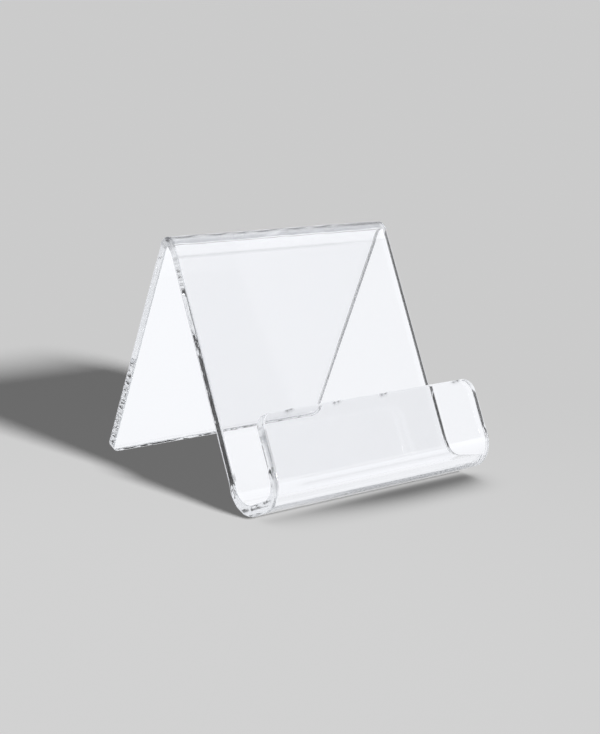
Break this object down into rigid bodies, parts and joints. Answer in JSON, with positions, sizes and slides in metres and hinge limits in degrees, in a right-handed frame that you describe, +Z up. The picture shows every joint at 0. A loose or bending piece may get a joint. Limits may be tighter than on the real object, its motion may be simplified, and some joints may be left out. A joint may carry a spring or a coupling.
{
  "type": "photo album stand",
  "caption": "Clear bent-acrylic easel: a sloping panel propped by a back leg, with a short ledge and an upturned lip in front that hold a small photo album.",
  "frame": {"origin": "on the ground, midway across the width and midway in depth between the toe bend's front and the back leg's foot", "axes": "+X to the right seen from the front, -Y towards the viewer the album faces, +Z up"},
  "size_m": [0.1, 0.1045, 0.0885],
  "materials": {
    "clear_acrylic": "polished"
  },
  "bodies": {
    "root": {"back_leg": "clear_acrylic", "ridge_bend": "clear_acrylic", "front_panel": "clear_acrylic", "heel_bend": "clear_acrylic", "ledge": "clear_acrylic", "toe_bend": "clear_acrylic", "front_lip": "clear_acrylic"}
  },
  "joints": []
}
